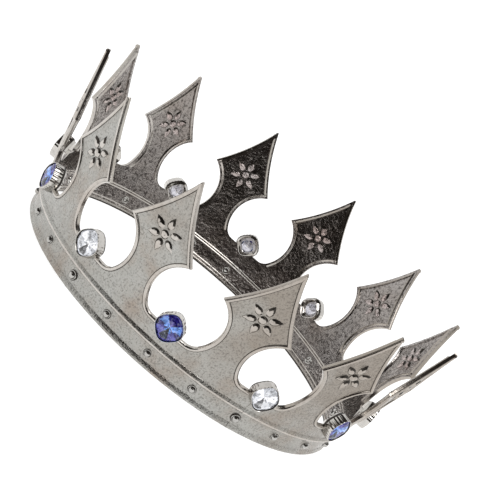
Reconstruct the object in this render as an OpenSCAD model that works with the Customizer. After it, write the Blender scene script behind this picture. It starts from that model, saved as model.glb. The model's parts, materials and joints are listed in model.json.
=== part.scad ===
// Full-round twelve-point crown: six cast wall panels lapped and riveted into a ring, with a
// stone in a setting between every two points. The band is a leaning cone; each point is a flat
// blade. Millimetres, +Z up, origin at the middle of the circle that the crown rests on. The
// front, at -Y, is the middle of panel 1.

/* [Ring] */
// Radius of the middle of the wall at the bottom edge
base_r = 88; // [80:1:96]
// Height from the bottom edge to the tips of the points
crown_h = 78.5; // [74:0.5:84]
// Angle by which the wall leans outwards, in degrees
flare = 12.5; // [10:0.5:15]
// Thickness of the plain wall
wall_t = 1.5; // [1.4:0.1:1.8]

/* [Points and cut-outs] */
// Radius of the round cut-out between two points
gap_r = 17.5; // [16.5:0.25:18]
// Height of the middle of the cut-out
gap_h = 33.4; // [32:0.2:35]
// Height of the flat at the bottom of the cut-out
ledge_h = 20.8; // [19.5:0.1:21.5]
// Width of a point across its barbs
barb_w = 35; // [31:0.1:36]
// Hollow of the long edges between barb and tip
edge_sag = 1.4; // [0.5:0.1:2.5]
// Width of the raised rim along the edges
rim_w = 1.9; // [1.2:0.1:2.4]
// Height that the rims stand proud of the wall
rim_proud = 0.4; // [0.2:0.05:0.5]

/* [Flower] */
// Height of the flower's middle
flower_h = 51.2; // [48:0.2:54]
// Distance from the flower's middle to its petal tips
petal_reach = 8.2; // [6.5:0.1:9]
// Height that the flower stands proud of the wall
flower_proud = 0.8; // [0.4:0.1:1.2]

/* [Band] */
// Height of the middle of the rib above the band
band_h = 11.6; // [10.5:0.1:12.5]
// Width of the rib above the band
band_rib_w = 2.6; // [2.2:0.1:3]
// Width of the rib along the bottom edge
hem_w = 2.9; // [2:0.1:3]
// Height that the ribs stand proud of the wall outside
rib_proud = 0.9; // [0.4:0.05:1]
// Height that the ribs stand proud of the wall inside
inner_rib_proud = 0.4; // [0.2:0.05:0.6]
// Height of the row of studs
stud_h = 6.5; // [5.5:0.1:7]
// Diameter of the domed heads
head_d = 4; // [3.2:0.1:4.4]
// Diameter of the rivet shanks
shank_d = 1.6; // [1.2:0.1:1.8]

/* [Stones] */
// Height of the middle of each stone's seat in the wall
seat_h = 23.1; // [22.5:0.1:24]
// Angle by which a setting tilts up from square to the wall, in degrees
seat_tilt = 10; // [0:1:12]
// Width of a setting across its flat sides
setting_w = 12.4; // [11:0.1:12.6]
// Depth of a setting's collar from back to front
setting_t = 3.9; // [3.3:0.1:4.2]
// Thickness of the setting's lip
lip_t = 0.5; // [0.4:0.05:0.7]

/* [Hidden] */

$fn = 64;
panels = 6;
panel_a = 360 / panels;           // angle that one panel covers
point_a = panel_a / 4;            // angle from a panel's middle to each of its points
front_a = -90;                    // direction that the front faces
seam_outside_a = -1;              // the outside seam, from the joint rivet's middle
seam_inside_a = 3;                // the inside seam, from the joint rivet's middle
tip_w = 1;                        // blunt width of a tip
edge_steps = 8;                   // straight pieces in a long edge
through = 12;                     // length of a cut right through the wall
half_t = wall_t / 2;
half_run = half_t / cos(flare);   // half of the wall's thickness, measured level
gap_v = gap_h / cos(flare);
ledge_v = ledge_h / cos(flare);
seat_v = seat_h / cos(flare);
curved_h = gap_h - 4.5;           // the curved wall stops here, inside the flat points
root_v = (gap_h - 6.5) / cos(flare);   // the flat points start here, inside the curved wall
plug_w = setting_w - 3.2;         // the setting's plug, seated in the notch
plug_step_w = plug_w - 2.8;
plug_step_t = 0.7;
setting_corner = 4.3;
collar_w = half_t + 0.05;         // back of the setting's collar, just clear of the wall
setting_front = collar_w + setting_t;
plug_back = -half_t - plug_w * sin(seat_tilt) * 0.7;   // clear of the wall's inside all round
stone_w = setting_w - 2 * lip_t;
stone_ledge = 0.6;                // ledge under the stone's girdle
girdle_t = 0.5;
girdle_w = setting_front - girdle_t - 0.4;   // underside of the girdle, above mid-wall
stone_rise = 1.9;                 // from the girdle to the stone's front point
stone_depth = 1.5;                // from the girdle to the stone's back point
clench_gap = 0.03;                // keeps a rolled ring off the curved wall

// Radius of the middle of the wall at height z
function wall_r(z) = base_r + z * tan(flare);
// The wall's spot at angle a and height z, once the cone is unrolled flat at angle 0
function unrolled(a, z) =
    let (reach = wall_r(z) / sin(flare), turn = a * sin(flare))
        [reach * sin(turn), reach * cos(turn) - base_r / sin(flare)];
// A square of width w with round corners of radius r
function cushion(w, r, steps = 4) = [
    for (q = [0:3], i = [0:steps])
        let (a = 90 * q + 90 * i / steps, c = w / 2 - r, d = 90 * q + 45)
            [c * sign(cos(d)) + r * cos(a), c * sign(sin(d)) + r * sin(a)]];

gap_centre = unrolled(point_a, gap_h);
barb = [barb_w / 2, gap_centre.y + sqrt(pow(gap_r, 2) - pow(gap_centre.x - barb_w / 2, 2))];
tip = [tip_w / 2, crown_h / cos(flare) - wall_t * tan(flare)];
edge = tip - barb;
edge_normal = [edge.y, -edge.x] / norm(edge);
// The long edge from barb to tip, set back by inset
function long_edge(inset) = [
    for (i = [0:edge_steps])
        let (t = i / edge_steps)
            barb + t * edge - (inset + 4 * edge_sag * t * (1 - t)) * edge_normal];

// Turns to angle a and lays the children on the wall: X level, Y up the wall, Z outwards
module on_wall(a, v = 0) {
    rotate([0, 0, a]) translate([base_r, 0, 0]) rotate([0, flare, 0]) rotate([90, 0, 90])
        translate([0, v, 0]) children();
}

// The middle of a stone's seat at angle a: like on_wall(), but with Z along the setting's axis
module on_seat(a) {
    on_wall(a, seat_v) rotate([-seat_tilt, 0, 0]) children();
}

// The outline of a point, set back by inset along every edge but its root
module point_outline(inset = 0) {
    right = [for (p = long_edge(inset)) if (p.x > 0.1) p];
    low = [right[0].x + inset, barb.y - 4];
    n = len(right) - 1;
    difference() {
        polygon(concat([[-low.x, root_v], [low.x, root_v], low], right,
            [for (i = [n:-1:0]) [-right[i].x, right[i].y]], [[-low.x, low.y]]));
        for (s = [-1, 1]) translate([s * gap_centre.x, gap_centre.y]) circle(r = gap_r + inset);
    }
}

// A flat point with its raised rims and its flower
module point_blade() {
    rim_t = wall_t + 2 * rim_proud;
    translate([0, 0, -half_t]) linear_extrude(wall_t) point_outline();
    translate([0, 0, -rim_t / 2]) linear_extrude(rim_t) difference() {
        point_outline();
        point_outline(rim_w);
    }
    translate([0, flower_h / cos(flare), 0]) flower();
}

// Six petals round a boss, standing proud on both faces
module flower() {
    t = half_t + flower_proud;
    translate([0, 0, -t]) cylinder(d = petal_reach / 2, h = 2 * t);
    for (i = [0:5]) rotate([0, 0, 60 * i + 30]) translate([0, 0, -t]) linear_extrude(2 * t)
        polygon([[petal_reach * 0.34, 0], [petal_reach * 0.46, -petal_reach * 0.17],
            [petal_reach * 0.66, -petal_reach * 0.16], [petal_reach, 0],
            [petal_reach * 0.66, petal_reach * 0.16], [petal_reach * 0.46, petal_reach * 0.17]]);
}

// The round cut-out between two points, flat at the bottom, wider by grow
module gap(grow = 0) {
    difference() {
        translate([0, gap_v, 0]) cylinder(r = gap_r + grow, h = through, center = true);
        translate([-gap_r * 2, ledge_v - grow - gap_r * 2, -through])
            cube([gap_r * 4, gap_r * 2, through * 2]);
    }
}

band_low = band_h - band_rib_w / 2;
band_high = band_h + band_rib_w / 2;
// Heights and how far the band's outside stands proud there: a hem and a rib like roof tiles,
// each a short step up and a long slope back
outer_line = [
    [0, rib_proud * 0.4], [hem_w * 0.38, rib_proud], [hem_w, 0],
    [band_low, 0], [band_low + 0.3, rib_proud * 0.4], [band_low + 1, rib_proud],
    [band_high, 0], [curved_h, 0]];
// The same inside: a flat hem, and two fine ribs with a groove between them
inner_line = [
    [0, inner_rib_proud - 0.2], [0.2, inner_rib_proud], [hem_w - 0.3, inner_rib_proud],
    [hem_w, 0], [band_low - 0.3, 0], [band_low, inner_rib_proud],
    [band_low + 0.6, inner_rib_proud], [band_low + 1, 0.1], [band_low + 1.4, inner_rib_proud],
    [band_low + 2, inner_rib_proud], [band_low + 2.3, 0], [curved_h, 0]];

// A layer of the curved wall from mid-wall out to the face line: side 1 outside, -1 inside
module layer(side, line) {
    face = [for (s = line) [wall_r(s[0]) + side * (half_run + s[1]), s[0]]];
    seam = side > 0 ? seam_outside_a : seam_inside_a;
    top = line[len(line) - 1][0];
    rotate([0, 0, seam - panel_a / 2]) rotate_extrude(angle = panel_a, $fn = 180)
        polygon(concat(face, [[wall_r(top), top], [wall_r(line[0][0]), line[0][0]]]));
}

// The curved part of a panel, with the lap at each end and the rims below the cut-outs
module curved_wall() {
    layer(1, outer_line);
    layer(-1, inner_line);
    intersection() {
        layer(1, [[ledge_h - rim_w * 1.5, rim_proud], [curved_h, rim_proud]]);
        union() for (i = [-1:1]) on_wall(i * panel_a / 2) gap(rim_w);
    }
}

// The diamond-shaped seat of a setting: the notch for its plug, and room for its collar
module seat() {
    rotate([0, 0, 45]) {
        translate([0, 0, -through / 2]) linear_extrude(through) square(plug_w, center = true);
        translate([0, 0, collar_w]) linear_extrude(through)
            polygon(cushion(setting_w, setting_corner));
    }
}

// One cast panel, in the middle of the +X side
module panel_shape() {
    difference() {
        curved_wall();
        for (i = [-1:1]) {
            on_wall(i * panel_a / 2) gap();
            on_seat(i * panel_a / 2) seat();
        }
        for (i = [-2:2]) on_wall(i * point_a, stud_h / cos(flare))
            cylinder(d = shank_d, h = through, center = true);
    }
    for (i = [-1, 1]) on_wall(i * point_a) point_blade();
}

// A domed rivet through the wall, rolled over into a ring on the inside
module rivet() {
    in_face = -half_t - clench_gap;
    dome = [for (i = [0:6]) let (a = 15 * i)
        [head_d / 2 * 0.8 * sin(a), half_t + 0.3 + head_d * 0.2 * cos(a)]];
    rotate_extrude() polygon(concat(dome, [
        [head_d / 2, half_t + 0.25], [head_d / 2, half_t], [shank_d / 2, half_t],
        [shank_d / 2, in_face], [head_d * 0.46, in_face], [head_d * 0.44, in_face - 0.5],
        [head_d * 0.32, in_face - 0.7], [head_d * 0.2, in_face - 0.4],
        [head_d * 0.14, in_face + 0.3], [0, in_face + 0.3]]));
}

// A setting: lipped collar outside the wall, stepped plug in the notch
module setting_shape() {
    rotate([0, 0, 45]) difference() {
        union() {
            translate([0, 0, collar_w]) linear_extrude(setting_t)
                polygon(cushion(setting_w, setting_corner));
            translate([0, 0, plug_back]) linear_extrude(collar_w - plug_back)
                square(plug_w, center = true);
            translate([0, 0, plug_back - plug_step_t]) linear_extrude(wall_t)
                polygon(cushion(plug_step_w, 1.2));
        }
        translate([0, 0, girdle_w]) linear_extrude(setting_front)
            polygon(cushion(stone_w, setting_corner - lip_t));
        translate([0, 0, girdle_w - stone_depth]) linear_extrude(setting_front)
            polygon(cushion(stone_w - 2 * stone_ledge, setting_corner - lip_t - stone_ledge));
        cylinder(d = 1.3, h = through, center = true);
    }
}

// A cushion-cut stone, pointed in front and behind
module stone_shape() {
    point_r = 0.05;
    sheet = 0.01;                 // thickness of the outlines that the facets start from
    pavilion_w = stone_w - 2 * stone_ledge - 0.2;
    rotate([0, 0, 45]) translate([0, 0, girdle_w]) {
        linear_extrude(girdle_t) polygon(cushion(stone_w, setting_corner - lip_t));
        hull() {
            translate([0, 0, girdle_t - sheet]) linear_extrude(sheet)
                polygon(cushion(stone_w, setting_corner - lip_t, 2));
            translate([0, 0, girdle_t + stone_rise])
                cylinder(r = point_r, h = sheet, $fn = 8);
        }
        hull() {
            linear_extrude(sheet) polygon(cushion(pavilion_w, setting_corner - 1.2, 2));
            translate([0, 0, -stone_depth]) cylinder(r = point_r, h = sheet, $fn = 8);
        }
    }
}

// Panel i, counted from the front, turning towards +X
module panel(i) {
    color("silver") rotate([0, 0, front_a + panel_a * (i - 1)]) panel_shape();
}

// The rivet through the lap between panel i and the next
module joint_rivet(i) {
    color("gray") on_wall(front_a + panel_a * (i - 0.5), stud_h / cos(flare)) rivet();
}

// The three trim studs of panel i
module band_studs(i) {
    color("gray") for (s = [-1:1])
        on_wall(front_a + panel_a * (i - 1) + point_a * s, stud_h / cos(flare)) rivet();
}

// Setting i, with setting 1 at the front; the even ones close the panels' seams
module setting(i) {
    color("dimgray") on_seat(front_a + panel_a / 2 * (i - 1)) setting_shape();
}

// The blue stone in the middle of panel i
module blue_stone(i) {
    color("royalblue") on_seat(front_a + panel_a * (i - 1)) stone_shape();
}

// The clear stone over the seam between panel i and the next
module clear_stone(i) {
    color("white") on_seat(front_a + panel_a * (i - 0.5)) stone_shape();
}

panel(1);  // panel_1
panel(2);  // panel_2
panel(3);  // panel_3
panel(4);  // panel_4
panel(5);  // panel_5
panel(6);  // panel_6
joint_rivet(1);  // joint_rivet_1
joint_rivet(2);  // joint_rivet_2
joint_rivet(3);  // joint_rivet_3
joint_rivet(4);  // joint_rivet_4
joint_rivet(5);  // joint_rivet_5
joint_rivet(6);  // joint_rivet_6
band_studs(1);  // band_studs_1
band_studs(2);  // band_studs_2
band_studs(3);  // band_studs_3
band_studs(4);  // band_studs_4
band_studs(5);  // band_studs_5
band_studs(6);  // band_studs_6
setting(1);  // setting_1
setting(2);  // setting_2
setting(3);  // setting_3
setting(4);  // setting_4
setting(5);  // setting_5
setting(6);  // setting_6
setting(7);  // setting_7
setting(8);  // setting_8
setting(9);  // setting_9
setting(10);  // setting_10
setting(11);  // setting_11
setting(12);  // setting_12
blue_stone(1);  // blue_stone_1
blue_stone(2);  // blue_stone_2
blue_stone(3);  // blue_stone_3
blue_stone(4);  // blue_stone_4
blue_stone(5);  // blue_stone_5
blue_stone(6);  // blue_stone_6
clear_stone(1);  // clear_stone_1
clear_stone(2);  // clear_stone_2
clear_stone(3);  // clear_stone_3
clear_stone(4);  // clear_stone_4
clear_stone(5);  // clear_stone_5
clear_stone(6);  // clear_stone_6
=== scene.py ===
"""The looks of a twelve-point crown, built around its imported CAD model.

Metres, +Z up, front at -Y. Lengths named in this file are millimetres, as in the CAD, and
Shell.build() turns them into metres. A spot on the wall is (azimuth in degrees, v, w): v runs up
the slope of the wall from its bottom edge, and w runs outwards from the middle of its thickness.
"""
import json
from math import atan2, ceil, cos, degrees, hypot, pi, radians, sin, sqrt

import bpy
import numpy as np
from mathutils import Matrix, Vector, noise
from mathutils.geometry import delaunay_2d_cdt


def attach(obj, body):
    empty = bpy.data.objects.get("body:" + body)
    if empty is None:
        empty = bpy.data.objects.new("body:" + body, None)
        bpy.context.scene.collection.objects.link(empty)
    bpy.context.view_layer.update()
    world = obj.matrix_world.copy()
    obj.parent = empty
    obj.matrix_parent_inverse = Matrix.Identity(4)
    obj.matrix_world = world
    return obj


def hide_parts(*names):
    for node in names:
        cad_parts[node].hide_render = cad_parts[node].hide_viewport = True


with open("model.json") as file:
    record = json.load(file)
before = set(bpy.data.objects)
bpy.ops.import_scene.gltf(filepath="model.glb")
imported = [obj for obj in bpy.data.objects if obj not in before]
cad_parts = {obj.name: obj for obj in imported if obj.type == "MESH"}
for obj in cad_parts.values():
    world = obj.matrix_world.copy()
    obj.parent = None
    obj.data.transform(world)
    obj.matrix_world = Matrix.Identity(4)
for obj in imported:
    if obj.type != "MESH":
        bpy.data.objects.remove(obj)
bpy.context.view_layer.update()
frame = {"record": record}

MM = 0.001

# The ring, as in the CAD
BASE_R = -frame["record"]["mounts"][0]["pos_m"][1] / MM
FLARE = radians(12.5)
SLOPE_REACH = BASE_R / sin(FLARE)      # from the cone's apex down its slope to the bottom edge
HALF_T = 0.75                          # half of the wall's thickness
PANELS = 6
PANEL_A = 360 / PANELS
POINT_A = PANEL_A / 4                  # from a panel's middle to each of its points
FRONT_A = -90
SEAM_OUT = -0.3                        # outside seam, in degrees from the joint rivet
SEAM_IN = 3.0                          # inside seam, on the other side of the lap
BLEND_V = (21, 34)                     # where the cone turns into flat points

# Points and cut-outs: V is up the slope, S sideways from a point's axis, A in degrees
GAP_R = 17.5                           # of the round cut-outs
GAP_V = 34.2
LEDGE_V = 21.3                         # the level bottom of a cut-out, beside its notch
LEDGE_BEND = (2.6, 0.2)                # where the ledge starts to bend up, and its corner
BEND_A = 9                             # how far round the cut-out the bend reaches
NEAR_A = 0.02                          # a spot nearer than this to a cut is left out
BARB_S = 17.5
TIP_V = 80.4
TIP_ROUND = ((0.45, 0.5), (0.22, 0.12), (0, 0))    # of the tip, as (S, down from TIP_V)
EDGE_SAG = 1.4                         # how hollow the long edges are
NOTCH = 5.4                            # from the middle of a setting's notch to its corner
SEAT_V = 23.66
SEAT_TILT = radians(10)                # of a setting, up from square to the wall
FLOWER_V = 52.4
STUD_V = 6.6

# Meshes
CELL = 0.8                             # spacing of the wall's mesh
EDGE_CLEAR = 0.45                      # how near its edge a spot may lie, in cells
ARC_STEP = 1.1                         # spacing of the spots round a cut-out
BLADE_STEPS = 26                       # along a point's long edge
BOTTOM_STEPS = 48                      # along a panel's bottom edge
SEAM_STEPS = 14                        # up a seam
BAND_STEPS = 150                       # along a rib of the band
FLAT_R = BASE_R + 8                    # turns degrees into roughly true lengths


# ---------------------------------------------------------------- the wall's surface

def smoothstep(low, high, x):
    """0 at low, 1 at high, and level beyond both."""
    t = min(1.0, max(0.0, (x - low) / (high - low)))
    return t * t * (3 - 2 * t)


def unroll(turn, v):
    """Cone to flat: from degrees and v to millimetres sideways and up, about turn 0."""
    b, reach = radians(turn) * sin(FLARE), SLOPE_REACH + v
    return reach * sin(b), reach * cos(b) - SLOPE_REACH


def roll(s, v):
    """Flat to cone, the opposite of unroll()."""
    return (degrees(atan2(s, SLOPE_REACH + v) / sin(FLARE)),
            hypot(s, SLOPE_REACH + v) - SLOPE_REACH)


def plane_spot(azimuth, s, v, w):
    """A spot in the plane that touches the wall at that azimuth: s along, v up, w outwards."""
    a = radians(azimuth)
    out = BASE_R + v * sin(FLARE) + w * cos(FLARE)
    return Vector((out * cos(a) - s * sin(a), out * sin(a) + s * cos(a),
                   v * cos(FLARE) - w * sin(FLARE)))


def wall_spot(azimuth, v, w):
    """A spot on the wall: a cone along the band that turns into flat points higher up."""
    first, spacing = FRONT_A + POINT_A, 2 * POINT_A
    point = first + spacing * round((azimuth - first) / spacing)
    s, up = unroll(azimuth - point, v)
    cone = plane_spot(azimuth, 0, v, w)
    return cone.lerp(plane_spot(point, s, up, w), smoothstep(*BLEND_V, up))


# ---------------------------------------------------------------- the outline of the wall

def quarter_bend(a, corner, b, steps=4):
    """A soft bend from a to b that leans into the corner."""
    a, corner, b = Vector(a), Vector(corner), Vector(b)
    return [tuple(a.lerp(corner, i / steps).lerp(corner.lerp(b, i / steps), i / steps))
            for i in range(steps + 1)]


def half_cutout():
    """The wall's edge on one side of a cut-out, from its notch to the next tip, as (degrees
    from the cut-out's middle, v)."""

    def on_ring(a):
        return GAP_R * cos(a), GAP_V + GAP_R * sin(a)

    dip = NOTCH - (SEAT_V - LEDGE_V)
    ledge_end = sqrt(GAP_R ** 2 - (GAP_V - LEDGE_V) ** 2)
    low = atan2(LEDGE_V - GAP_V, ledge_end) + radians(BEND_A)
    flat = [(0, SEAT_V - NOTCH), (dip / 2, SEAT_V - NOTCH + dip / 2), (dip, LEDGE_V),
            (dip + 2, LEDGE_V)]
    bend_from, corner = [(ledge_end - back, LEDGE_V) for back in LEDGE_BEND]
    flat += quarter_bend(bend_from, corner, on_ring(low))
    edge = blade_edge()
    barb_s, barb_up = unroll(*edge[0])
    high = atan2(barb_up - GAP_V, barb_s)
    steps = ceil((high - low) * GAP_R / ARC_STEP)
    flat += [on_ring(low + (high - low) * i / steps) for i in range(1, steps)]
    return [roll(s, v) for s, v in flat] + edge


def blade_edge():
    """The long edge of the point beside a cut-out, from barb to rounded tip, as (degrees from
    the cut-out's middle, v)."""
    ring_s, ring_v = unroll(POINT_A, GAP_V)
    barb = Vector((BARB_S, ring_v + sqrt(GAP_R ** 2 - (ring_s - BARB_S) ** 2)))
    tip = [Vector((s, TIP_V - down)) for s, down in TIP_ROUND]
    along = tip[0] - barb
    inward = Vector((-along.y, along.x)).normalized()
    edge = [barb.lerp(tip[0], t) + inward * EDGE_SAG * 4 * t * (1 - t)
            for t in (i / BLADE_STEPS for i in range(BLADE_STEPS + 1))]
    turned = [roll(-p.x, p.y) for p in edge + tip[1:]]
    return [(POINT_A + turn, v) for turn, v in turned]


HALF = half_cutout()


def from_cut(cut):
    """HALF from the angle cut onwards, where cut may lie on the other side of the notch."""

    def v_at(turn):
        for (a, va), (b, vb) in zip(HALF, HALF[1:]):
            if a <= turn <= b:
                return va + (vb - va) * (turn - a) / (b - a)
        return HALF[0][1]

    start = [(cut, v_at(abs(cut)))]
    if cut < 0:
        start += [(-turn, v) for turn, v in HALF[::-1] if 0 < turn < -cut]
        return start + HALF
    first = next(i for i, (turn, _) in enumerate(HALF) if turn > cut + NEAR_A)
    return start + HALF[first:]


def layer_outline(low, high):
    """One layer of a panel between two seams, anticlockwise, as (degrees from the panel's
    middle, v)."""

    def rise(a, b):
        return [(a[0], a[1] + (b[1] - a[1]) * i / SEAM_STEPS) for i in range(1, SEAM_STEPS)]

    end = PANEL_A / 2
    bottom = [(low + (high - low) * i / BOTTOM_STEPS, 0.0) for i in range(BOTTOM_STEPS + 1)]
    top = [(end - turn, v) for turn, v in from_cut(end - high)]
    top += HALF[-2::-1]
    top += [(-turn, v) for turn, v in HALF[1:]]
    top += [(turn - end, v) for turn, v in from_cut(low + end)[-2::-1]]
    return bottom + rise(bottom[-1], top[0]) + top + rise(top[-1], bottom[0])


def to_plane(spots):
    """Degrees and v as a plane of roughly true millimetres, for triangulating."""
    return np.array([(radians(turn) * FLAT_R, v) for turn, v in spots])


def inside(poly, spots):
    """Which spots lie inside the closed polyline."""
    odd = np.zeros(len(spots), bool)
    for (xa, ya), (xb, yb) in zip(poly, np.roll(poly, -1, axis=0)):
        if ya != yb:
            crosses = (ya > spots[:, 1]) != (yb > spots[:, 1])
            odd ^= crosses & (spots[:, 0] < xa + (spots[:, 1] - ya) / (yb - ya) * (xb - xa))
    return odd


def grid_inside(outline):
    """Evenly spread spots inside the outline and clear of its edge."""
    poly = to_plane(outline)
    low, high = poly.min(axis=0), poly.max(axis=0)
    rows = []
    for row in range(1, int(high[1] / CELL)):
        xs = np.arange(low[0] + (row % 2) * CELL / 2, high[0], CELL)
        rows.append(np.column_stack((xs, np.full(len(xs), row * CELL))))
    spots = np.concatenate(rows)
    spots = spots[inside(poly, spots)]
    return spots[distance_to(poly, spots) > CELL * EDGE_CLEAR]


def distance_to(poly, spots):
    """How far each spot is from the closed polyline."""
    nearest = np.full(len(spots), 1e9)
    for a, b in zip(poly, np.roll(poly, -1, axis=0)):
        ab = b - a
        t = np.clip(((spots - a) @ ab) / (ab @ ab), 0, 1)
        nearest = np.minimum(nearest, np.hypot(*(spots - a - t[:, None] * ab).T))
    return nearest


def triangulate(outline, inner):
    """(spots as degrees and v, triangles) of the outline filled with the inner spots."""
    poly = to_plane(outline)
    points = [Vector(p) for p in poly] + [Vector(p) for p in inner]
    spots, _, faces = delaunay_2d_cdt(points, [], [list(range(len(poly)))], 1, 1e-6, False)[:3]
    flat = np.array(spots)
    middles = flat[np.array(faces)].mean(axis=1)
    faces = [face for face, kept in zip(faces, inside(poly, middles)) if kept]
    used = sorted({i for face in faces for i in face})
    index = {old: new for new, old in enumerate(used)}
    turned = [(degrees(flat[i][0] / FLAT_R), flat[i][1]) for i in used]
    return turned, [tuple(index[i] for i in face) for face in faces]


def rim_edges(faces):
    """The edges that only one face has, in the direction that the face goes round them."""
    seen = set()
    for face in faces:
        seen.update(zip(face, face[1:] + face[:1]))
    return [(a, b) for a, b in seen if (b, a) not in seen]


# ---------------------------------------------------------------- mesh building

class Shell:
    """Gathers vertices in millimetres and faces, with a material number for each face."""

    def __init__(self):
        self.verts, self.faces, self.slots = [], [], []

    def add(self, verts, faces, slot=0):
        """Slot is one material number, or a list with one for each face."""
        start = len(self.verts)
        self.verts += [tuple(v) for v in verts]
        self.faces += [tuple(i + start for i in face) for face in faces]
        self.slots += slot if isinstance(slot, list) else [slot] * len(faces)

    def build(self, name, materials, sharp=35):
        """Makes the object, smooth but for edges sharper than that many degrees."""
        mesh = bpy.data.meshes.new(name)
        mesh.from_pydata([tuple(c * MM for c in v) for v in self.verts], [], self.faces)
        for material in materials:
            mesh.materials.append(material)
        mesh.polygons.foreach_set("material_index", self.slots)
        mesh.polygons.foreach_set("use_smooth", [True] * len(self.faces))
        mesh.set_sharp_from_angle(angle=radians(sharp))
        mesh.validate()
        obj = bpy.data.objects.new(name, mesh)
        bpy.context.scene.collection.objects.link(obj)
        return obj


def ring_faces(rings, around, caps=True):
    """Quads between successive closed rings of the same number of vertices."""
    faces = []
    for i in range(rings - 1):
        for j in range(around):
            a, b = i * around + j, i * around + (j + 1) % around
            faces.append((a, b, b + around, a + around))
    if caps:
        faces.append(tuple(range(around))[::-1])
        faces.append(tuple(range((rings - 1) * around, rings * around)))
    return faces


def facing(faces, side):
    """The faces as they are for side 1, and turned over for side -1."""
    return faces if side > 0 else [face[::-1] for face in faces]


def hammer(spot, size, height):
    """Small uneven dents, in millimetres."""
    return height * noise.noise(spot / size)


# ---------------------------------------------------------------- panels

OUTSIDE, INSIDE, RUBBED_AND_HIGHLIGHT, PATINA_AND_SHADE, WORN = range(5)     # materials of a panel


def layer_span(side):
    """The two seams of a layer, in degrees from its panel's middle."""
    seam = SEAM_OUT if side > 0 else SEAM_IN
    return seam - PANEL_A / 2, seam + PANEL_A / 2


def make_layer(side):
    """The spots and triangles of a layer, and how far each spot is from the layer's edge."""
    outline = layer_outline(*layer_span(side))
    spots, faces = triangulate(outline, grid_inside(outline))
    return spots, faces, distance_to(to_plane(outline), to_plane(spots))


LAYERS = {side: make_layer(side) for side in (1, -1)}
LIP, LIP_A = 0.16, 2.2                 # how proud a seam lip stands, and over what angle
DENTS = ((2.2, 0.07), (8.0, 0.22))     # size and depth of the hammered unevenness
DENT_FADE = (0.5, 4.5)                 # from the edge, which is even, to full depth


def seam_lip(side, turn):
    """The outside layer lies a little proud along one end, as the soldered laps do."""
    low, _ = layer_span(side)
    return LIP * smoothstep(LIP_A, 0, turn - low) if side > 0 else 0.0


def add_layer(shell, middle, side):
    """One half of a panel's thickness, from the middle of the wall to its face."""
    spots, faces, margins = LAYERS[side]
    edges = rim_edges(faces)
    face_verts = []
    for (turn, v), margin in zip(spots, margins):
        at = wall_spot(middle + turn, v, 0)
        dents = smoothstep(*DENT_FADE, margin) * sum(hammer(at, *dent) for dent in DENTS)
        w = side * (HALF_T + seam_lip(side, turn)) + dents
        face_verts.append(wall_spot(middle + turn, v, w))
    shell.add(face_verts, facing(faces, side), OUTSIDE if side > 0 else INSIDE)
    ring = sorted({i for edge in edges for i in edge})
    place = {i: n for n, i in enumerate(ring)}
    at_face = [face_verts[i] for i in ring]
    at_mid = [wall_spot(middle + spots[i][0], spots[i][1], 0) for i in ring]
    quads = [(place[b], place[a], place[a] + len(ring), place[b] + len(ring)) for a, b in edges]
    shell.add(at_face + at_mid, facing(quads, side), RUBBED_AND_HIGHLIGHT)


def inward_steps(path):
    """For each spot of a path along the wall's edge, the step of one millimetre into the
    metal, in millimetres sideways and up. The metal is on the path's left."""
    scale = [radians(1) * (BASE_R + v * sin(FLARE)) for _, v in path]
    flat = [Vector((turn * k, v)) for (turn, v), k in zip(path, scale)]
    steps = []
    for i, k in enumerate(scale):
        turns = []
        for a, b in ((i - 1, i), (i, i + 1)):
            if a >= 0 and b < len(path):
                dx = (path[b][0] - path[a][0]) * k
                turns.append(Vector((-(path[b][1] - path[a][1]), dx)).normalized())
        normal = sum(turns, Vector((0, 0))).normalized()
        steps.append(normal / max(SHARPEST_MITRE, normal.dot(turns[0])))
    return steps, scale


SHARPEST_MITRE = 0.45
RIM_FROM_A = 2.2                       # from a cut-out's middle to where its rim starts
INNER_RIM_FROM_A = 8.3
INNER_RIM_SHORT = 2.5                  # how far below the tip the inside rim stops
# Sections of the rims, as (depth in from the wall's edge, height above its middle)
RIM_OUT = [(-0.04, 0.0), (-0.04, 0.62), (0.1, 0.82), (0.34, 1.12), (0.56, 1.27), (0.85, 1.34),
           (1.2, 1.32), (1.48, 1.14), (1.64, 0.8), (1.68, 0.0)]
# A strip of the near-black patina metal along the foot of the outside rim: patina in the hollow
# there, and painted shade for the groove that the mesh is too coarse to cut
RIM_FOOT = [(1.55, 0.6), (1.6, 0.81), (1.84, 0.8), (1.9, 0.6)]
RIM_IN = [(-0.04, 0.0), (-0.04, 0.8), (0.1, 0.95), (0.5, 1.0), (1.0, 1.02), (1.08, 1.06),
          (1.86, 1.41), (1.96, 1.44), (2.1, 1.44), (2.35, 0.72), (2.37, 0.0)]
# For each side, sections with their metal, the gaps of another metal, and that metal
RIMS = {1: [(RIM_OUT, RUBBED_AND_HIGHLIGHT, (), RUBBED_AND_HIGHLIGHT), (RIM_FOOT, PATINA_AND_SHADE, (), PATINA_AND_SHADE)],
        -1: [(RIM_IN, RUBBED_AND_HIGHLIGHT, (2, 3, 4, 8), INSIDE)]}


def gap_slots(faces, gaps, metal, marked, other):
    """A material for each face of a section swept along a path; other is for marked gaps."""
    return [other if i % gaps in marked else metal for i in range(len(faces))]


def add_rim(shell, middle, path, axis_turn, side, profile, *slots):
    """A raised rim along a path of (degrees, v), kept on its own side of the point's axis."""
    steps, scale = inward_steps(path)
    verts = []
    for (turn, v), step, k in zip(path, steps, scale):
        for depth, height in profile:
            t = turn + step.x * depth / k
            if (turn - axis_turn) * (t - axis_turn) < 0:
                t = axis_turn
            verts.append(wall_spot(middle + t, v + step.y * depth, side * height))
    faces = ring_faces(len(path), len(profile))
    shell.add(verts, facing(faces, -side), gap_slots(faces, len(profile), *slots))


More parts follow.
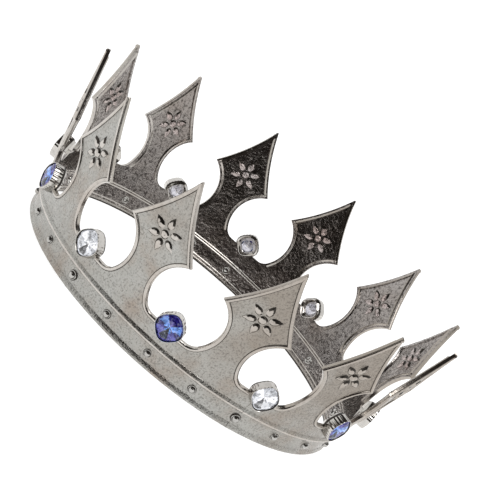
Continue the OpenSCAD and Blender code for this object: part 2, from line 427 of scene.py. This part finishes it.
def add_rims(shell, middle):
    """The rims along the edges of a panel's two points, outside and inside. The inside ones
    stop short of the tips and of the ledge."""
    outer = [(turn, v) for turn, v in HALF if v >= LEDGE_V - 0.01 and turn > RIM_FROM_A]
    start = next(i for i, (turn, _) in enumerate(outer) if turn > INNER_RIM_FROM_A)
    inner = [(turn, v) for turn, v in outer[start:] if v < TIP_V - INNER_RIM_SHORT]
    for side, half in ((1, outer), (-1, inner)):
        for gap, mirror in ((-PANEL_A / 2, 1), (0, 1), (0, -1), (PANEL_A / 2, -1)):
            path = [(gap + mirror * turn, v) for turn, v in half][::-mirror]
            for rim in RIMS[side]:
                add_rim(shell, middle, path, gap + mirror * POINT_A, side, *rim)


# Sections of the band's ribs, as (height up the band, how far the rib stands proud)
HEM_OUT = [(0.0, 0.0), (0.0, 0.45), (0.3, 0.72), (0.75, 0.93), (1.1, 1.0), (1.45, 0.88),
           (2.1, 0.48), (2.8, 0.1), (2.95, 0.0)]
RIB_OUT = [(10.2, 0.0), (10.25, 0.3), (10.45, 0.65), (10.85, 0.9), (11.3, 0.98), (11.6, 0.88),
           (12.2, 0.5), (12.85, 0.1), (13.0, 0.0)]
HEM_IN = [(0.0, 0.0), (0.0, 0.1), (0.4, 0.34), (0.9, 0.5), (1.3, 0.52), (1.6, 0.36), (1.8, 0.1),
          (1.9, 0.0)]


def fine_ridge(z):
    """The section of a thin ridge at that height, inside the crown."""
    return [(z - 0.42, 0.0), (z - 0.36, 0.12), (z - 0.2, 0.3), (z, 0.36), (z + 0.2, 0.28),
            (z + 0.4, 0.1), (z + 0.5, 0.0)]


# In the same form as RIMS
# The outside rib's lower flank, gaps 1 to 4, takes the lighter rubbed metal as a painted highlight
# on its down-facing side
RIBS = {1: [(HEM_OUT, OUTSIDE, (), OUTSIDE), (RIB_OUT, OUTSIDE, (1, 2, 3, 4), RUBBED_AND_HIGHLIGHT)],
        # The inside hem's bottom gaps 0 to 2 take the near-black patina metal as painted shade
        # along the bottom edge
        -1: [(HEM_IN, RUBBED_AND_HIGHLIGHT, (0, 1, 2), PATINA_AND_SHADE)] + [
            (fine_ridge(z), RUBBED_AND_HIGHLIGHT, (), RUBBED_AND_HIGHLIGHT) for z in (2.9, 10.2, 11.4)]}
RIB_SUNK = 0.2
RIB_WAVES = ((1.0, 0.05), (0.3, 0.04))    # scale and depth of the ribs' unevenness
RIB_GRAIN = (2.6, 1.2)                 # its pace, per degree along and per millimetre up


def add_band_rib(shell, middle, side, profile, *slots):
    """A rib along the band, sunk into the wall's face by its first and last spots."""
    low, high = layer_span(side)
    verts = []
    for i in range(BAND_STEPS + 1):
        turn = low + (high - low) * i / BAND_STEPS
        for z, height in profile:
            base = HALF_T - RIB_SUNK if height == 0 else HALF_T + seam_lip(side, turn)
            spot = Vector((turn * RIB_GRAIN[0] + middle, z * RIB_GRAIN[1], side))
            wave = sum(depth * noise.noise(spot * scale) for scale, depth in RIB_WAVES)
            verts.append(wall_spot(middle + turn, z / cos(FLARE), side * (base + height + wave)))
    faces = ring_faces(BAND_STEPS + 1, len(profile))
    shell.add(verts, facing(faces, side), gap_slots(faces, len(profile), *slots))


# From the foot up: a petal's share of its outline, and how far it stands proud there
PETAL_RISE = [(1.08, -0.35), (1.08, 0.03), (1.0, 0.08), (0.84, 0.4), (0.6, 0.68), (0.34, 0.85),
              (0.12, 0.9)]
# The same for the boss in the middle, with its radius
BOSS_RISE = [(2.15, -0.35), (2.15, 0.03), (2.0, 0.08), (1.8, 0.45), (1.45, 0.8), (1.0, 1.02),
             (0.45, 1.1)]
FOOT = (0, 1)                          # the gaps between rings at the foot
# Flank faces that face up take the patina metal as painted shade, the dark that an upward slope
# shows
FLANK = (2, 3)                         # the gaps on the steep flank
FACES_UP = 0.2                         # sine of the slant from which a flank faces up
PETALS = 6
BOSS_AROUND = 16
PETAL_MIDDLE = 4.9                     # from the middle of the flower
PETAL_UNEVEN = 0.35                    # share of the height that varies


def petal():
    """One petal lying along +X: rings from its edge up to its ridge, as (x, y, height)."""
    outline = [(2.5, 0.0), (2.75, 0.75), (3.5, 1.35), (4.5, 1.6), (5.5, 1.5), (6.6, 1.05),
               (7.5, 0.5), (8.2, 0.0)]
    loop = outline + [(x, -y) for x, y in outline[-2:0:-1]]
    middle = PETAL_MIDDLE
    verts = []
    for share, height in PETAL_RISE:
        verts += [(middle + (x - middle) * share, y * share, height) for x, y in loop]
    return verts, ring_faces(len(PETAL_RISE), len(loop))


def boss():
    """The flower's round middle, in the same form as a petal."""
    verts = []
    for radius, height in BOSS_RISE:
        for i in range(BOSS_AROUND):
            a = 2 * pi * i / BOSS_AROUND
            verts.append((radius * cos(a), radius * sin(a), height))
    return verts, ring_faces(len(BOSS_RISE), BOSS_AROUND)


def flower_slot(verts, face, gap, metal, turn):
    """Patina fills the foot; the flank, wherever it faces up, takes the patina metal as painted
    shade.
    """
    middle = sum((Vector(verts[i][:2]) for i in face), Vector((0, 0))) / len(face)
    core = sum((Vector(spot[:2]) for spot in verts), Vector((0, 0))) / len(verts)
    away = (middle - core).normalized()
    faces_up = away.x * sin(turn) + away.y * cos(turn) > FACES_UP
    return PATINA_AND_SHADE if gap in FOOT or (gap in FLANK and faces_up) else metal


def add_flower(shell, azimuth, side):
    """Petals round a boss, on one face of a point."""
    parts = [(boss(), 0)]
    parts += [(petal(), radians(360 / PETALS * (i + 0.5))) for i in range(PETALS)]
    metal = RUBBED_AND_HIGHLIGHT if side > 0 else WORN
    for (verts, faces), turn in parts:
        placed = []
        for x, y, height in verts:
            uneven = noise.noise(Vector((x * 0.9, y * 0.9, azimuth + turn * 3)))
            height *= 1 + PETAL_UNEVEN * uneven
            placed.append(plane_spot(azimuth, x * cos(turn) - y * sin(turn),
                                     FLOWER_V + x * sin(turn) + y * cos(turn),
                                     side * (HALF_T + height)))
        around = len(verts) // len(PETAL_RISE)
        slots = [flower_slot(verts, face, i // around, metal, turn)
                 for i, face in enumerate(faces)]
        shell.add(placed, facing(faces, side), slots)


def make_panel(number, materials):
    """Cast panel with its rims, ribs and flowers."""
    middle = FRONT_A + PANEL_A * (number - 1)
    shell = Shell()
    for side in (1, -1):
        add_layer(shell, middle, side)
        for rib in RIBS[side]:
            add_band_rib(shell, middle, side, *rib)
        for point in (-POINT_A, POINT_A):
            add_flower(shell, middle + point, side)
    add_rims(shell, middle)
    piece = shell.build(f"wall_{number}", materials)
    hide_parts(f"panel_{number}")
    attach(piece, "root")


# ---------------------------------------------------------------- studs

# A stud's head outside and its rolled end inside, as (radius, height) from the rim inwards
HEAD = [(2.1, -0.3), (2.1, 0.04), (1.88, 0.06), (1.86, 0.2), (1.76, 0.36), (1.6, 0.38),
        (1.52, 0.2), (1.48, 0.05), (1.44, 0.4), (1.32, 0.8), (1.1, 1.15), (0.78, 1.4),
        (0.4, 1.52), (0.0, 1.56)]
ROLLED = [(2.2, -0.2), (2.15, 0.3), (1.95, 0.55), (1.65, 0.62), (1.35, 0.5), (1.2, 0.22),
          (1.05, 0.0), (0.7, 0.1), (0.35, 0.22), (0.0, 0.26)]
HEAD_PATINA = (0, 1, 5, 6)             # the gaps between the head's rings that hold patina
# The dome's upper flank takes the patina metal as painted shade, for the dark its upper half
# reflects
PAINTED_SHADE_FLANK = (7, 8, 9)                 # the gaps whose upper part holds it too
STUD_AROUND = 28
UPPER_PART = range(3, 11)              # of the spots round a stud


def add_turned(shell, azimuth, side, profile, wobble, size=1.0, lift=0.0):
    """A profile of (radius, height) turned about the wall's normal, in the row of studs."""
    verts = []
    for radius, height in profile[:-1]:
        for i in range(STUD_AROUND):
            a = 2 * pi * i / STUD_AROUND
            uneven = wobble * noise.noise(Vector((cos(a), sin(a), azimuth)) * 1.3)
            r = size * radius * (1 + uneven)
            verts.append(plane_spot(azimuth, r * cos(a), STUD_V + r * sin(a),
                                    side * (HALF_T + lift + size * height)))
    top = side * (HALF_T + lift + size * profile[-1][1])
    verts.append(plane_spot(azimuth, 0, STUD_V, top))
    faces = ring_faces(len(profile) - 1, STUD_AROUND, caps=False)
    last = (len(profile) - 2) * STUD_AROUND
    faces += [(last + i, last + (i + 1) % STUD_AROUND, len(verts) - 1)
              for i in range(STUD_AROUND)]
    slots = [stud_slot(i) if profile is HEAD else 0 for i in range(len(faces))]
    shell.add(verts, facing(faces, side), slots)


def stud_slot(i):
    """The material number of the head's face i: 1 is the patina metal, as patina in the hollows
    and as painted shade on the dome's upper flank; 0 is rubbed metal.
    """
    gap, place = divmod(i, STUD_AROUND)
    return 1 if gap in HEAD_PATINA or (gap in PAINTED_SHADE_FLANK and place in UPPER_PART) else 0


def make_studs(name, node, azimuths, materials, size=1.0, lift=0.0):
    """Domed heads outside, rolled-over rings inside."""
    shell = Shell()
    for azimuth in azimuths:
        add_turned(shell, azimuth, 1, HEAD, 0.03, size, lift)
        add_turned(shell, azimuth, -1, ROLLED, 0.12)
    piece = shell.build(name, materials)
    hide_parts(node)
    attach(piece, "root")


# ---------------------------------------------------------------- settings and stones

def cushion(width, count, squareness=2.7):
    """A soft square that wide, as count spots evenly spread by direction from 22.5 degrees."""
    loop = []
    for i in range(count):
        a = radians(22.5) + 2 * pi * i / count
        total = abs(cos(a)) ** squareness + abs(sin(a)) ** squareness
        reach = width / 2 / total ** (1 / squareness)
        loop.append((reach * cos(a), reach * sin(a)))
    return loop


def seat_spot(azimuth, x, y, d):
    """A spot in a setting's own axes, which stand on their corner, like a diamond."""
    side, up = (x - y) * sqrt(0.5), (x + y) * sqrt(0.5)
    return plane_spot(azimuth, side, SEAT_V + up * cos(SEAT_TILT) + d * sin(SEAT_TILT),
                      d * cos(SEAT_TILT) - up * sin(SEAT_TILT))


# Rings of a setting from its back hollow round to its front, as (width, squareness, distance
# out from mid-wall)
CUP = [(5.6, 3, 0.3), (5.8, 3, 0.0), (9.0, 3.4, -1.6), (9.25, 3.3, -1.76), (9.6, 3.2, -1.74),
       (10.1, 3, -1.45), (11.2, 2.8, -0.75), (11.9, 2.75, -0.2), (12.25, 2.7, 0.4),
       (12.4, 2.7, 1.0), (12.2, 2.7, 4.1), (12.1, 2.7, 4.45), (11.9, 2.7, 4.66),
       (11.65, 2.7, 4.7), (11.45, 2.7, 4.55), (11.2, 2.7, 4.3), (11.15, 2.7, 3.4)]
CUP_AROUND = 160
FLUTED = (8, 9, 10, 11)                # the rings of the fluted collar
FLUTES, FLUTE_DEPTH = 24, 0.16
# Gaps painted with the patina metal as painted shade: the shadowed back of the collar and the
# crevice between lip and stone
PAINTED_SHADE_GAPS = (6, 7, 14, 15)              # the gaps between rings that hold patina
FOIL_W = 5.8
FOIL_RIM, FOIL_TIP = (1.0, 0.1), (0.14, -0.4)    # (share of the width, distance out)
PLATED, FOILED, PAINTED_SHADE = range(3)      # materials of a setting


def add_cup(shell, azimuth):
    """The metal of a setting, turned from the rings of CUP."""
    verts = []
    for ring, (width, squareness, d) in enumerate(CUP):
        depth = FLUTE_DEPTH if ring in FLUTED else 0
        for i, (x, y) in enumerate(cushion(width, CUP_AROUND, squareness)):
            share = 1 - 2 * depth / width * (0.5 + 0.5 * cos(2 * pi * FLUTES * i / CUP_AROUND))
            verts.append(seat_spot(azimuth, x * share, y * share, d))
    slots = [PAINTED_SHADE if gap in PAINTED_SHADE_GAPS else PLATED
             for gap in range(len(CUP) - 1) for _ in range(CUP_AROUND)]
    shell.add(verts, ring_faces(len(CUP), CUP_AROUND, caps=False), slots)


def add_back_foil(shell, azimuth):
    """The silvered back of the stone, showing through the back of its setting."""
    loop = cushion(FOIL_W, 8)
    verts = [seat_spot(azimuth, x * share, y * share, d)
             for share, d in (FOIL_RIM, FOIL_TIP) for x, y in loop]
    shell.add(verts, [((i + 1) % 8, i, 8 + i, 8 + (i + 1) % 8) for i in range(8)], FOILED)
    shell.add(verts[8:], [tuple(range(8))[::-1]], PLATED)


def make_setting(number, materials):
    """An open-backed cup: a lipped collar in front, a square plug in the panel's notch."""
    azimuth = FRONT_A + PANEL_A / 2 * (number - 1)
    shell = Shell()
    add_cup(shell, azimuth)
    add_back_foil(shell, azimuth)
    piece = shell.build(f"cup_{number}", materials, sharp=40)
    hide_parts(f"setting_{number}")
    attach(piece, "root")


STONE_W = 10.8
# Rings of facets from the girdle inwards, as (spots, share of the width, distance out)
CUT_FRONT = [(32, 1.0, 3.7), (32, 1.0, 4.15), (16, 0.8, 4.75), (8, 0.52, 5.2)]
CUT_BACK = [(32, 1.0, 3.7), (16, 0.88, 3.25), (16, 0.45, 2.15), (16, 0.03, 1.3)]
GLASS, DEEP, LIGHT, MIDDLE, DARK = range(5)    # materials of a stone
# The tone of each sixteenth of a ring, from the top round to the bottom, girdle ring first. The
# tones are painted reflections and shade, as the cut throws the light about.
BACK_TONES = [(MIDDLE, DEEP, MIDDLE, DEEP, DARK, MIDDLE, DEEP, MIDDLE),
              (DEEP, DEEP, LIGHT, LIGHT, DEEP, MIDDLE, MIDDLE, DARK),
              (MIDDLE, DEEP, LIGHT, LIGHT, LIGHT, DEEP, LIGHT, DARK)]


def tone_of(ring, sixteenth):
    """The tones mirror left and right; sixteenth 0 lies just right of the top corner."""
    left = (sixteenth - 1) % 16
    return BACK_TONES[ring][left if left < 8 else 15 - left]


def add_facets(shell, azimuth, rings, tone):
    """Facets between rings whose number of spots stays the same or halves, closed by the last
    ring. Tone gives the material for a ring and a sixteenth of the way round."""
    loops = [[seat_spot(azimuth, x * share, y * share, d) for x, y in cushion(STONE_W, count)]
             for count, share, d in rings]
    faces, slots, start = [], [], 0
    for ring, (a, b) in enumerate(zip(loops, loops[1:])):
        ratio, inner = len(a) // len(b), start + len(a)
        for i in range(len(b)):
            low, high = inner + i, inner + (i + 1) % len(b)
            edge = [start + (ratio * i + k) % len(a) for k in range(ratio + 1)]
            fan = [(edge[0], edge[1], low), (edge[1], high, low)]
            if ratio == 2:
                fan.append((edge[1], edge[2], high))
            faces += fan
            slots += [tone(ring, 16 * i // len(b))] * len(fan)
        start = inner
    faces.append(tuple(range(start, start + len(loops[-1]))))
    shell.add([spot for loop in loops for spot in loop], faces, slots + [slots[-1]])


def make_stone(name, node, azimuth, materials):
    """A cushion-cut stone with a small table, over a back cut in three rings and painted with the
    reflections and shade of its cut.
    """
    shell = Shell()
    add_facets(shell, azimuth, CUT_FRONT, lambda ring, sixteenth: GLASS)
    add_facets(shell, azimuth, CUT_BACK, tone_of)
    piece = shell.build(name, materials, sharp=1)
    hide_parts(node)
    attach(piece, "root")


# ---------------------------------------------------------------- materials

class Nodes:
    """A node tree with short calls to fill it."""

    def __init__(self, tree):
        self.tree = tree

    @classmethod
    def of_material(cls, name):
        """The tree of a new material, which it keeps as material, with its shader."""
        material = bpy.data.materials.new(name)
        material.use_nodes = True
        nodes = cls(material.node_tree)
        nodes.material = material
        nodes.shader = material.node_tree.nodes["Principled BSDF"]
        return nodes

    def node(self, kind, inputs=None, **settings):
        """Adds a node. An input is a value, or another node's output to link to."""
        made = self.tree.nodes.new(kind)
        for key, value in settings.items():
            setattr(made, key, value)
        for key, value in (inputs or {}).items():
            if isinstance(value, bpy.types.NodeSocket):
                self.tree.links.new(value, made.inputs[key])
            else:
                made.inputs[key].default_value = value
        return made

    def link(self, output, socket):
        self.tree.links.new(output, self.shader.inputs[socket])

    def noise(self, where, per_mm, detail=3.0, roughness=0.5):
        return self.node("ShaderNodeTexNoise", {
            "Vector": where, "Scale": per_mm / MM, "Detail": detail,
            "Roughness": roughness}).outputs["Fac"]

    def ramp(self, value, stops):
        """A colour ramp through (position, colour) stops."""
        made = self.node("ShaderNodeValToRGB", {"Fac": value})
        elements = made.color_ramp.elements
        for element, (position, color) in zip(elements, (stops[0], stops[-1])):
            element.position, element.color = position, (*color, 1)
        for position, color in stops[1:-1]:
            elements.new(position).color = (*color, 1)
        return made.outputs["Color"]

    def spread(self, value, low, high):
        """Turns the middle of a noise's range, 0.3 to 0.7, into low to high."""
        return self.node("ShaderNodeMapRange", {
            "Value": value, "From Min": 0.3, "From Max": 0.7,
            "To Min": low, "To Max": high}).outputs["Result"]

    def bump(self, height, distance_mm, strength=1.0, under=None):
        inputs = {"Height": height, "Distance": distance_mm * MM, "Strength": strength}
        if under is not None:
            inputs["Normal"] = under
        return self.node("ShaderNodeBump", inputs).outputs["Normal"]


def tip_tone_and_painted_side_shade(m, where, tone, tip_tone):
    """Mixes the darker tip tone in towards the tops of the points, in clouds. Its lean towards +X
    is painted shade, for the darker room that side reflects."""
    spot = m.node("ShaderNodeSeparateXYZ", {"Vector": where}).outputs
    height = m.node("ShaderNodeMath", {0: spot["X"], 1: 0.6, 2: spot["Z"]},
                    operation="MULTIPLY_ADD").outputs["Value"]
    cloudy = m.node("ShaderNodeMath", {0: m.spread(m.noise(where, 0.06, 3.0), -0.02, 0.02),
                                       1: height}, operation="ADD").outputs["Value"]
    share = m.node("ShaderNodeMapRange", {"Value": cloudy, "From Min": 0.03, "From Max": 0.08,
                                          "To Min": 0.0, "To Max": 0.8}).outputs["Result"]
    return m.node("ShaderNodeMix", {"Factor": share, "A": tone, "B": (*tip_tone, 1)},
                  data_type="RGBA").outputs["Result"]


def cast_metal(name, tones, rough, grain_mm, grain_depth, pit_share, tip_tone=None):
    """Antiqued silver plate over a casting: a cloudy tone of three colours, a pebbled skin that
    holds dark patina in its pits, and a fine grain."""
    m = Nodes.of_material(name)
    where = m.node("ShaderNodeTexCoord").outputs["Object"]
    cloud = m.ramp(m.noise(where, 0.045, 4.0, 0.6),
                   [(0.32, tones[0]), (0.52, tones[1]), (0.7, tones[2])])
    if tip_tone:
        cloud = tip_tone_and_painted_side_shade(m, where, cloud, tip_tone)
    pebble = m.noise(where, 1 / grain_mm, 2.5, 0.6)
    pits = m.node("ShaderNodeMapRange", {"Value": pebble, "From Min": 0.3, "From Max": 0.52,
                                         "To Min": pit_share, "To Max": 0.0}).outputs["Result"]
    tone = m.node("ShaderNodeMix", {"Factor": pits, "A": cloud, "B": (0.05, 0.042, 0.036, 1)},
                  data_type="RGBA")
    m.link(tone.outputs["Result"], "Base Color")
    m.link(m.spread(m.noise(where, 0.25, 3.0), rough - 0.05, rough + 0.07), "Roughness")
    m.shader.inputs["Metallic"].default_value = 1.0
    skin = m.bump(pebble, grain_depth)
    m.link(m.bump(m.noise(where, 3.2, 2.0), 0.012, 1.0, skin), "Normal")
    return m.material


def make_metals():
    """The materials of a panel, of the studs and of the settings."""
    wall = cast_metal(
        "antiqued_wall", [(0.405, 0.405, 0.385), (0.38, 0.37, 0.345), (0.33, 0.285, 0.245)],
        rough=0.26, grain_mm=0.85, grain_depth=0.26, pit_share=0.5, tip_tone=(0.26, 0.225, 0.19))
    inner = cast_metal(
        "dark_inner_wall", [(0.41, 0.385, 0.37), (0.38, 0.35, 0.33), (0.33, 0.29, 0.265)],
        rough=0.14, grain_mm=1.5, grain_depth=0.26, pit_share=0.9)
    rim = cast_metal(
        # Lighter rubbed metal: rubbed wear on the edges and relief, and also a painted highlight
        # on the lower flank of the outside ribs
        "rubbed_edges_and_highlight", [(0.57, 0.545, 0.51), (0.52, 0.49, 0.455), (0.46, 0.41, 0.365)],
        rough=0.16, grain_mm=1.6, grain_depth=0.05, pit_share=0.2, tip_tone=(0.36, 0.32, 0.28))
    # Near-black patina metal: patina in the hollows, and also painted shade wherever it stands in
    # for shadow
    patina_and_shade = cast_metal(
        "patina_and_shade", [(0.06, 0.053, 0.047), (0.045, 0.04, 0.035), (0.03, 0.026, 0.022)],
        rough=0.35, grain_mm=1.2, grain_depth=0.05, pit_share=0.3)
    stud = cast_metal(
        "rubbed_stud", [(0.5, 0.49, 0.47), (0.46, 0.45, 0.43), (0.4, 0.38, 0.35)],
        rough=0.1, grain_mm=1.6, grain_depth=0.02, pit_share=0.1)
    cup = cast_metal(
        "plated_cup", [(0.62, 0.60, 0.57), (0.56, 0.54, 0.51), (0.45, 0.41, 0.38)],
        rough=0.08, grain_mm=2.5, grain_depth=0.02, pit_share=0.15)
    worn = cast_metal(
        "worn_relief", [(0.60, 0.55, 0.53), (0.55, 0.48, 0.46), (0.48, 0.39, 0.36)],
        rough=0.22, grain_mm=1.0, grain_depth=0.45, pit_share=0.4)
    return [wall, inner, rim, patina_and_shade, worn], stud, cup


def stone_glass(name, color):
    """The glass front of a stone."""
    m = Nodes.of_material(name)
    s = m.shader.inputs
    where = m.node("ShaderNodeTexCoord").outputs["Object"]
    deep = tuple(c * 0.85 for c in color)
    m.link(m.ramp(m.noise(where, 0.2, 2.0), [(0.35, deep), (0.65, color)]), "Base Color")
    s["Roughness"].default_value = 0.0
    s["IOR"].default_value = 1.55
    s["Transmission Weight"].default_value = 1.0
    m.link(m.bump(m.noise(where, 0.6, 1.0), 0.006), "Normal")
    return m.material


def stone_foil(name, color, painted_glow=0.0, metallic=0.3):
    """The back of a stone, painted with the light and shade that its facets throw and mottled as
    they break up the light. The painted glow is emission that stands for the light the cut gathers
    from all round."""
    m = Nodes.of_material(name)
    where = m.node("ShaderNodeTexCoord").outputs["Object"]
    shaded = tuple(c * 0.45 for c in color)
    pale = tuple(c + (1 - c) * 0.35 for c in color)
    tone = m.ramp(m.noise(where, 0.75, 3.0, 0.65), [(0.4, shaded), (0.5, color), (0.62, pale)])
    m.link(tone, "Base Color")
    m.link(m.spread(m.noise(where, 1.3, 2.0), 0.03, 0.1), "Roughness")
    m.shader.inputs["Metallic"].default_value = metallic
    if painted_glow:
        m.link(tone, "Emission Color")
        m.shader.inputs["Emission Strength"].default_value = painted_glow
    return m.material


def make_stone_materials():
    """For each kind of stone: the glass, then its deep, light, middle and dark backs, which are
    painted reflections and shade, most with a painted glow.
    """
    blue = [stone_glass("sapphire_glass", (0.86, 0.91, 1.0)),
            stone_foil("blue_deep", (0.05, 0.03, 0.35), painted_glow=0.1),
            stone_foil("blue_light", (0.18, 0.42, 1.0), painted_glow=0.5),
            stone_foil("blue_violet", (0.28, 0.22, 0.75), painted_glow=0.14),
            stone_foil("blue_dark", (0.04, 0.045, 0.08))]
    clear = [stone_glass("clear_glass", (0.99, 1.0, 1.0)),
             stone_foil("clear_deep", (0.7, 0.71, 0.75), painted_glow=0.35),
             stone_foil("clear_light", (0.97, 0.97, 1.0), painted_glow=0.75),
             stone_foil("clear_middle", (0.85, 0.86, 0.9), painted_glow=0.55),
             stone_foil("clear_dark", (0.2, 0.2, 0.21), painted_glow=0.1)]
    return blue, clear


# ---------------------------------------------------------------- stage

FLOOR_REACH = 14000                    # from the crown to each side


def make_floor():
    """A plain pale floor, lit from within so that its edge melts into the backdrop."""
    m = Nodes.of_material("pale_floor")
    where = m.node("ShaderNodeTexCoord").outputs["Object"]
    tone = m.ramp(m.noise(where, 0.0004, 2.0), [(0.3, (0.5, 0.5, 0.5)), (0.7, (0.52, 0.52, 0.52))])
    m.link(tone, "Base Color")
    m.shader.inputs["Roughness"].default_value = 0.9
    m.shader.inputs["Emission Color"].default_value = (1, 1, 1, 1)
    m.shader.inputs["Emission Strength"].default_value = 0.88
    shell = Shell()
    corners = ((-1, -1), (1, -1), (1, 1), (-1, 1))
    shell.add([(x * FLOOR_REACH, y * FLOOR_REACH, 0) for x, y in corners], [(0, 1, 2, 3)])
    plate = shell.build("floor", [m.material])


WINDOW = (0.79, -0.22, 0.57)           # towards the window on the right
BACKDROP = (0.35, 0.8, -1.1)           # towards the middle of the backdrop, on the right
DARK_ROOM, SOFT_WHITE = (0.03, 0.026, 0.023), (0.95, 0.95, 0.95)


def make_world():
    """A bright backdrop that wraps round low behind the crown, and a soft window high on each
    side, in a dark, warm room."""
    world = bpy.data.worlds.new("studio")
    world.use_nodes = True
    w = Nodes(world.node_tree)
    sight = w.node("ShaderNodeTexCoord").outputs["Generated"]
    x, y, z = w.node("ShaderNodeSeparateXYZ", {"Vector": sight}).outputs
    beside = w.node("ShaderNodeMath", {0: x}, operation="ABSOLUTE").outputs["Value"]
    mirrored = w.node("ShaderNodeCombineXYZ", {"X": beside, "Y": y, "Z": z}).outputs["Vector"]

    def share_towards(direction, low, high):
        dot = w.node("ShaderNodeVectorMath", {0: mirrored, 1: direction}, operation="DOT_PRODUCT")
        return w.node("ShaderNodeMapRange", {"Value": dot.outputs["Value"], "From Min": low,
                                             "From Max": high}).outputs["Result"]

    room = w.ramp(share_towards(BACKDROP, -1.4, 1.4),
                  [(0.0, DARK_ROOM), (0.30, DARK_ROOM), (0.39, SOFT_WHITE),
                   (0.9, (1.05, 1.05, 1.05))])
    lit = w.node("ShaderNodeMix", {"Factor": share_towards(WINDOW, 0.9, 0.95), "A": room,
                                   "B": (0.95, 0.95, 0.93, 1)}, data_type="RGBA")
    w.tree.links.new(lit.outputs["Result"], w.tree.nodes["Background"].inputs["Color"])
    bpy.context.scene.world = world


def add_softbox(name, azimuth, elevation, distance, size, watts):
    """An area light that faces the crown, placed by direction and distance in metres."""
    light = bpy.data.lights.new(name, "AREA")
    light.shape, light.size, light.size_y = "RECTANGLE", size, size
    light.energy = watts
    obj = bpy.data.objects.new(name, light)
    a, e = radians(azimuth), radians(elevation)
    obj.location = (distance * cos(e) * cos(a), distance * cos(e) * sin(a), distance * sin(e))
    obj.rotation_euler = (-obj.location).to_track_quat("-Z", "Y").to_euler()
    bpy.context.scene.collection.objects.link(obj)


CAMERA_SPOT, CAMERA_TARGET = (7.2, -639.9, 202.5), (3.0, 0.0, 45.4)
CAMERA_ROLL = radians(41.25)
SENSOR_W, LENS = 36.0, 102.03


def make_camera():
    """The camera looks a little down on the front, and is rolled so that the crown leans."""
    spot = Vector(CAMERA_SPOT) * MM
    target = Vector(CAMERA_TARGET) * MM
    back = (spot - target).normalized()
    level = Vector((0, 0, 1)).cross(back).normalized()
    frame_axes = Matrix((level, back.cross(level), back)).transposed()
    turned = frame_axes @ Matrix.Rotation(CAMERA_ROLL, 3, "Z")
    data = bpy.data.cameras.new("camera")
    data.sensor_width, data.lens = SENSOR_W, LENS
    data.clip_start, data.clip_end = 0.01, 100.0
    camera = bpy.data.objects.new("camera", data)
    camera.matrix_world = Matrix.Translation(spot) @ turned.to_4x4()
    bpy.context.scene.collection.objects.link(camera)
    bpy.context.scene.camera = camera


# ---------------------------------------------------------------- the scene

RIVET_SIZE, RIVET_LIFT = 1.12, 0.3     # a seam rivet is a larger stud, on top of the lap


def main():
    wall, stud, cup = make_metals()
    blue, clear = make_stone_materials()
    foil = stone_foil("silver_foil", (0.75, 0.74, 0.82), metallic=0.4)
    for number in range(1, PANELS + 1):
        middle = FRONT_A + PANEL_A * (number - 1)
        make_panel(number, wall)
        make_studs(f"studs_{number}", f"band_studs_{number}",
                   [middle + POINT_A * i for i in (-1, 0, 1)], [stud, wall[PATINA_AND_SHADE]])
        make_studs(f"seam_rivet_{number}", f"joint_rivet_{number}", [middle + PANEL_A / 2],
                   [stud, wall[PATINA_AND_SHADE]], RIVET_SIZE, RIVET_LIFT)
        make_stone(f"sapphire_{number}", f"blue_stone_{number}", middle, blue)
        make_stone(f"crystal_{number}", f"clear_stone_{number}", middle + PANEL_A / 2,
                   clear)
    for number in range(1, 2 * PANELS + 1):
        make_setting(number, [cup, foil, wall[PATINA_AND_SHADE]])
    make_floor()
    make_world()
    add_softbox("key", azimuth=-60, elevation=65, distance=1.6, size=0.75, watts=8)
    make_camera()
    bpy.context.scene.view_settings.view_transform = "Standard"


main()
